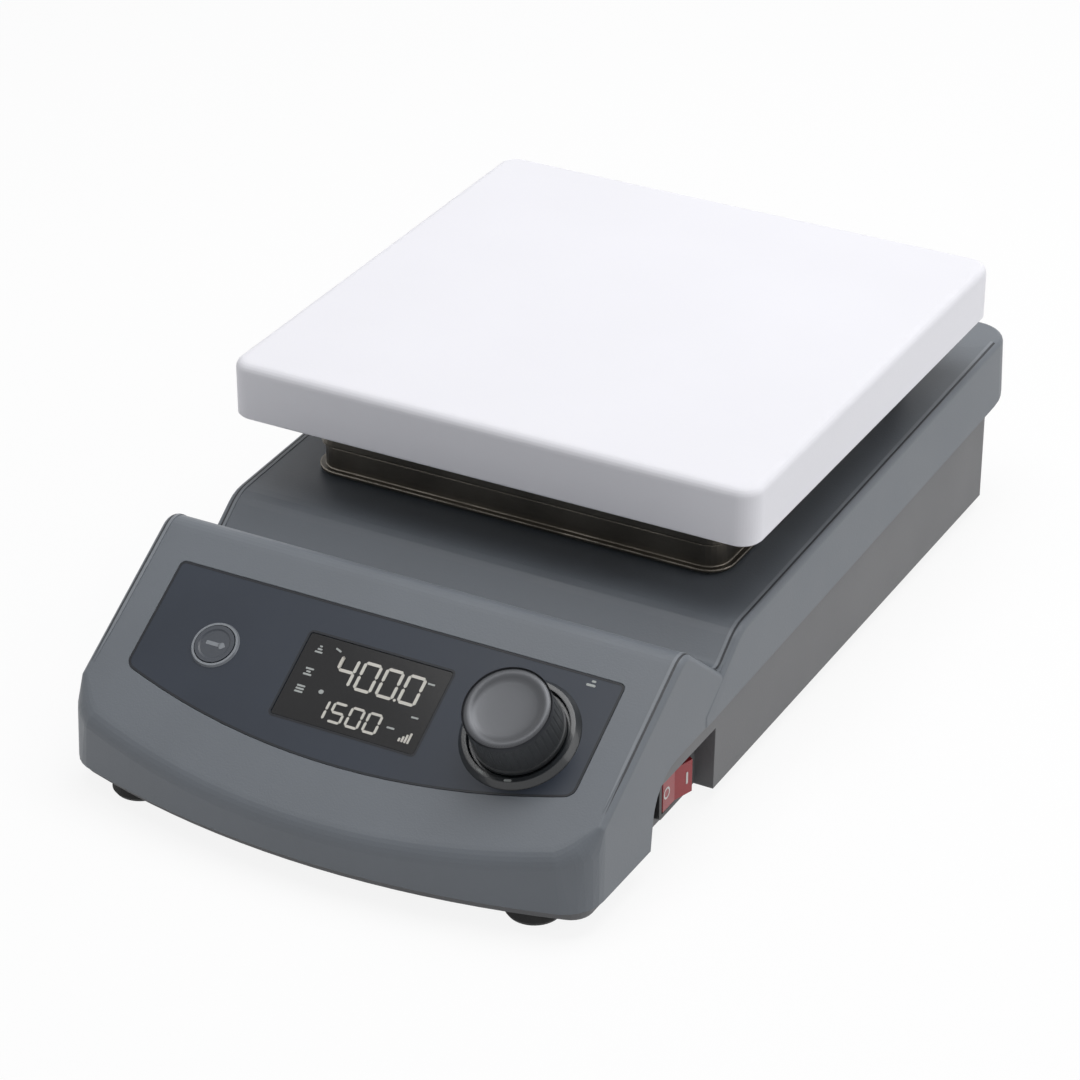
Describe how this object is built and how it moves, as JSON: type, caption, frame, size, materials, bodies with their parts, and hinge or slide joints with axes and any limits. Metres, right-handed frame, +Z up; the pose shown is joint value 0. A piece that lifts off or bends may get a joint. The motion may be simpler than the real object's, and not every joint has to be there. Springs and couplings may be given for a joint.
{
  "type": "hotplate magnetic stirrer",
  "caption": "Bench hotplate stirrer: square white plate over a sloping two-part grey housing with display, push button, control knob and side rocker switch.",
  "frame": {"origin": "centre of the overall box, on the bench under the feet", "axes": "+Z up, -Y towards the user at the control console, +X to the user's right"},
  "size_m": [0.184, 0.3274, 0.099],
  "materials": {
    "upper_plastic": "fine satin texture",
    "lower_plastic": "fine satin texture",
    "black_rubber": "matte",
    "steel": "zinc plated",
    "white_enamel": "smooth white coating",
    "mica": "layered sheet",
    "fibre_pad": "pressed fibre",
    "stainless": "cold rolled",
    "ceramic": "unglazed",
    "dark_metal": "satin black",
    "copper": "enamelled wire",
    "nickel": "nickel plated",
    "overlay_film": "fine grained film",
    "black_glass": "polished",
    "circuit_board": "solder mask",
    "bright_ring": "satin",
    "white_plastic": "natural",
    "black_plastic": "semi gloss",
    "ring_plastic": "satin",
    "knob_plastic": "satin",
    "cap_metal": "spun",
    "aluminium": "extruded",
    "sleeve_plastic": "shrink sleeve",
    "red_plastic": "semi gloss",
    "fuse_glass": "clear"
  },
  "bodies": {
    "housing": {"top_housing": "upper_plastic", "lower_body": "lower_plastic", "rubber_feet": "black_rubber", "foot_screws": "steel", "housing_screws": "steel", "heat_plate": "white_enamel", "heating_element": "mica", "heater_clamp": "steel", "insulation_pad": "fibre_pad", "heater_pan": "stainless", "heat_shield": "stainless", "plate_pillars": "steel", "pillar_screws": "steel", "plate_sensor": "stainless", "heat_cutout": "ceramic", "motor_can": "dark_metal", "motor_stator": "copper", "motor_bearings": "steel", "motor_bracket": "steel", "motor_grommets": "black_rubber", "bracket_screws": "steel", "control_overlay": "overlay_film", "display_window": "black_glass", "display_module": "circuit_board", "control_board": "circuit_board", "board_screws": "steel", "button_ring": "bright_ring", "button_switch": "black_plastic", "knob_ring": "ring_plastic", "encoder_body": "dark_metal", "power_board": "circuit_board", "transformer": "copper", "heat_sink": "aluminium", "capacitor": "sleeve_plastic", "power_board_posts": "white_plastic", "switch_frame": "black_plastic", "mains_inlet": "black_plastic", "probe_socket": "nickel", "rod_bush": "steel"},
    "stir_rotor": {"motor_shaft": "steel", "motor_rotor": "dark_metal", "magnet_carrier": "dark_metal", "drive_magnets": "nickel"},
    "encoder_ring": {"encoder_rotor": "white_plastic"},
    "knob": {"encoder_shaft": "steel", "control_knob": "knob_plastic", "knob_cap": "cap_metal"},
    "push_button": {"mode_button": "overlay_film", "button_plunger": "white_plastic"},
    "rocker": {"switch_rocker": "red_plastic"},
    "fuse_holder": {"fuse_drawer": "black_plastic", "fuses": "fuse_glass"}
  },
  "joints": [
    {"name": "stirrer_turn", "type": "hinge", "parent": "housing", "child": "stir_rotor", "pos_m": [0, 0.04275, 0.0545], "axis": [0, 0, 1], "continuous": true},
    {"name": "knob_turn", "type": "hinge", "parent": "housing", "child": "encoder_ring", "pos_m": [0.053, -0.12241, 0.04481], "axis": [0, -0.5135, 0.8581], "continuous": true},
    {"name": "knob_press", "type": "slide", "parent": "encoder_ring", "child": "knob", "axis": [0, 0.5135, -0.8581], "range_m": [0, 0.0007], "stiffness_N_per_m": 2500, "springref_m": -0.0008},
    {"name": "button_press", "type": "slide", "parent": "housing", "child": "push_button", "axis": [0, 0.5135, -0.8581], "range_m": [0, 0.0006], "stiffness_N_per_m": 1500, "springref_m": -0.0008},
    {"name": "rocker_tilt", "type": "hinge", "parent": "housing", "child": "rocker", "pos_m": [0.0815, -0.08305, 0.0146], "axis": [0, 0, 1], "range_deg": [0, 18]},
    {"name": "fuse_drawer_pull", "type": "slide", "parent": "housing", "child": "fuse_holder", "axis": [0, 1, 0], "range_m": [0, 0.016]}
  ]
}
